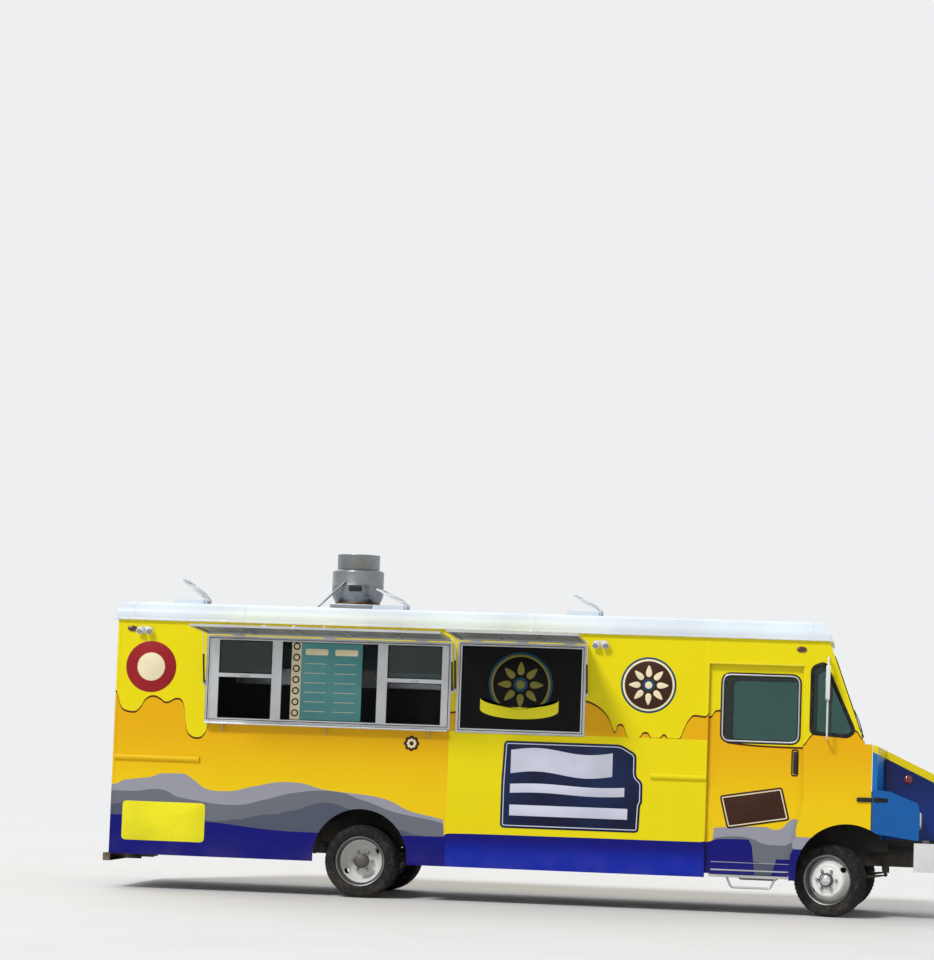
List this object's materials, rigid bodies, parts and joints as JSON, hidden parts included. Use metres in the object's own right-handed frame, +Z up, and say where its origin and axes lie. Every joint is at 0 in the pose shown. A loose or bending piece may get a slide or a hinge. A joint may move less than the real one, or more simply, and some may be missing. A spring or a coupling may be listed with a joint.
{
  "type": "food truck",
  "caption": "Step-van food truck with open serving hatches, sliding cab doors, a tilting hood and twin rear wheels.",
  "frame": {"origin": "centre of the whole truck's footprint box, on the ground", "axes": "+X forward, +Y to the truck's left, +Z up"},
  "size_m": [9.566, 3.7142, 3.9],
  "materials": {
    "chassis_black": "satin black chassis paint with road dust",
    "step_metal": "bright worn aluminium",
    "floor_sheet": "dull sheet metal",
    "yellow_paint": "gloss yellow wrap",
    "roof_white": "gloss white paint",
    "fan_aluminium": "spun aluminium",
    "window_glass": "tinted glass",
    "cab_plastic": "black moulded plastic",
    "cast_engine": "plain cast metal",
    "bumper_white": "white paint",
    "hood_paint": "yellow over navy blue paint",
    "grille_black": "black plastic",
    "blue_paint": "gloss blue paint",
    "lamp_clear": "clear lens",
    "board_teal": "printed board",
    "frame_aluminium": "satin aluminium",
    "kitchen_steel": "brushed stainless steel",
    "seat_vinyl": "dark vinyl",
    "mirror_white": "white painted tube",
    "lamp_red": "red lens",
    "tyre_rubber": "dusty rubber",
    "wheel_paint": "white wheel paint",
    "rod_chrome": "polished rod"
  },
  "bodies": {
    "truck": {"chassis_frame": "chassis_black", "front_axle": "chassis_black", "rear_axle": "chassis_black", "side_wall_right": "yellow_paint", "cab_side_right": "yellow_paint", "side_wall_left": "yellow_paint", "cab_side_left": "yellow_paint", "entry_steps": "step_metal", "body_floor": "floor_sheet", "wheel_houses": "floor_sheet", "rear_wall": "yellow_paint", "roof": "roof_white", "exhaust_fan": "fan_aluminium", "cab_front": "yellow_paint", "body_glass": "window_glass", "cab_fittings": "cab_plastic", "engine_cover": "cab_plastic", "engine_block": "cast_engine", "tank_and_exhaust": "chassis_black", "front_bumper": "bumper_white", "rear_bumper": "chassis_black", "serving_frame": "frame_aluminium", "display_frame": "frame_aluminium", "window_boards": "board_teal", "serving_ledge": "frame_aluminium", "kitchen_units": "kitchen_steel", "prep_counter": "kitchen_steel", "range_hood": "kitchen_steel", "seat_pad": "seat_vinyl", "mirrors": "mirror_white", "body_lamps": "lamp_red"},
    "knuckle_right": {"knuckle_right": "chassis_black"},
    "knuckle_left": {"knuckle_left": "chassis_black"},
    "front_wheel_right": {"front_tyre_right": "tyre_rubber", "front_rim_right": "wheel_paint"},
    "front_wheel_left": {"front_tyre_left": "tyre_rubber", "front_rim_left": "wheel_paint"},
    "rear_wheel_right": {"rear_tyres_right": "tyre_rubber", "rear_rims_right": "wheel_paint"},
    "rear_wheel_left": {"rear_tyres_left": "tyre_rubber", "rear_rims_left": "wheel_paint"},
    "sliding_door_right": {"sliding_door_right": "yellow_paint", "sliding_glass_right": "window_glass"},
    "sliding_door_left": {"sliding_door_left": "yellow_paint", "sliding_glass_left": "window_glass"},
    "rear_door_right": {"rear_door_right": "yellow_paint"},
    "rear_door_left": {"rear_door_left": "yellow_paint"},
    "serving_hatch": {"serving_hatch": "frame_aluminium"},
    "serving_cylinders": {"serving_cylinders": "chassis_black"},
    "serving_rods": {"serving_rods": "rod_chrome"},
    "display_hatch": {"display_hatch": "frame_aluminium"},
    "display_cylinders": {"display_cylinders": "chassis_black"},
    "display_rods": {"display_rods": "rod_chrome"},
    "hood": {"hood_shell": "hood_paint", "grille": "grille_black", "fenders": "blue_paint", "headlamps": "lamp_clear"},
    "vent_lid_rear": {"vent_lid_rear": "roof_white"},
    "vent_lid_front": {"vent_lid_front": "roof_white"},
    "steering_wheel": {"steering_wheel": "cab_plastic"}
  },
  "joints": [
    {"name": "steer_right", "type": "hinge", "parent": "truck", "child": "knuckle_right", "pos_m": [3.487, -0.38789, 0.4055], "axis": [0, 0, 1], "range_deg": [-13, 53]},
    {"name": "steer_left", "type": "hinge", "parent": "truck", "child": "knuckle_left", "pos_m": [3.487, 1.1921, 0.4055], "axis": [0, 0, 1], "range_deg": [-13, 53]},
    {"name": "steering_wheel_turn", "type": "hinge", "parent": "truck", "child": "steering_wheel", "pos_m": [3.317, 0.90211, 1.76], "axis": [0.6, 0, -0.8], "range_deg": [-849, 209]},
    {"name": "front_spin_right", "type": "hinge", "parent": "knuckle_right", "child": "front_wheel_right", "pos_m": [3.43912, -0.51945, 0.4055], "axis": [0.342, 0.9397, 0], "continuous": true},
    {"name": "rear_spin_right", "type": "hinge", "parent": "truck", "child": "rear_wheel_right", "pos_m": [-1.796, -0.62789, 0.4055], "axis": [0, 1, 0], "continuous": true},
    {"name": "sliding_door_right", "type": "slide", "parent": "truck", "child": "sliding_door_right", "axis": [-1, 0, 0], "range_m": [0, 0.9]},
    {"name": "rear_door_right", "type": "hinge", "parent": "truck", "child": "rear_door_right", "pos_m": [-4.676, -0.2119, 1.8], "axis": [0, 0, 1], "range_deg": [0, 105]},
    {"name": "front_spin_left", "type": "hinge", "parent": "knuckle_left", "child": "front_wheel_left", "pos_m": [3.53488, 1.32366, 0.4055], "axis": [0.342, 0.9397, 0], "continuous": true},
    {"name": "rear_spin_left", "type": "hinge", "parent": "truck", "child": "rear_wheel_left", "pos_m": [-1.796, 1.4321, 0.4055], "axis": [0, 1, 0], "continuous": true},
    {"name": "sliding_door_left", "type": "slide", "parent": "truck", "child": "sliding_door_left", "axis": [-1, 0, 0], "range_m": [0, 0.9]},
    {"name": "rear_door_left", "type": "hinge", "parent": "truck", "child": "rear_door_left", "pos_m": [-4.676, 1.01611, 1.8], "axis": [0, 0, -1], "range_deg": [0, 105]},
    {"name": "serving_hatch", "type": "hinge", "parent": "truck", "child": "serving_hatch", "pos_m": [-2.226, -0.8239, 2.906], "axis": [-1, 0, 0], "range_deg": [-93, 0]},
    {"name": "serving_strut_tilt", "type": "hinge", "parent": "truck", "child": "serving_cylinders", "pos_m": [-2.226, -0.8239, 2.346], "axis": [1, 0, 0], "range_deg": [-14.79, 0]},
    {"name": "serving_strut_slide", "type": "slide", "parent": "serving_cylinders", "child": "serving_rods", "axis": [0, -0.2551, 0.9669], "range_m": [-0.17738, 0]},
    {"name": "display_hatch", "type": "hinge", "parent": "truck", "child": "display_hatch", "pos_m": [-0.038, -0.8239, 2.926], "axis": [-1, 0, 0], "range_deg": [-93, 0]},
    {"name": "display_strut_tilt", "type": "hinge", "parent": "truck", "child": "display_cylinders", "pos_m": [-0.038, -0.8239, 2.366], "axis": [1, 0, 0], "range_deg": [-14.79, 0]},
    {"name": "display_strut_slide", "type": "slide", "parent": "display_cylinders", "child": "display_rods", "axis": [0, -0.2551, 0.9669], "range_m": [-0.17738, 0]},
    {"name": "hood_tilt", "type": "hinge", "parent": "truck", "child": "hood", "pos_m": [4.709, 0.4021, 0.905], "axis": [0, 1, 0], "range_deg": [0, 55]},
    {"name": "vent_lid_rear", "type": "hinge", "parent": "truck", "child": "vent_lid_rear", "pos_m": [-1.444, -0.19789, 3.312], "axis": [0, 1, 0], "range_deg": [-26, 20]},
    {"name": "vent_lid_front", "type": "hinge", "parent": "truck", "child": "vent_lid_front", "pos_m": [0.781, -0.19789, 3.312], "axis": [0, 1, 0], "range_deg": [-26, 20]}
  ],
  "couplings": [
    {"joint": "steer_left", "follows": "steer_right", "ratio": 1},
    {"joint": "steering_wheel_turn", "follows": "steer_right", "ratio": -16},
    {"joint": "serving_strut_tilt", "follows": "serving_hatch", "ratio": 0.1589},
    {"joint": "serving_strut_slide", "follows": "serving_hatch", "m_per_rad": 0.10922},
    {"joint": "display_strut_tilt", "follows": "display_hatch", "ratio": 0.1589},
    {"joint": "display_strut_slide", "follows": "display_hatch", "m_per_rad": 0.10922}
  ]
}
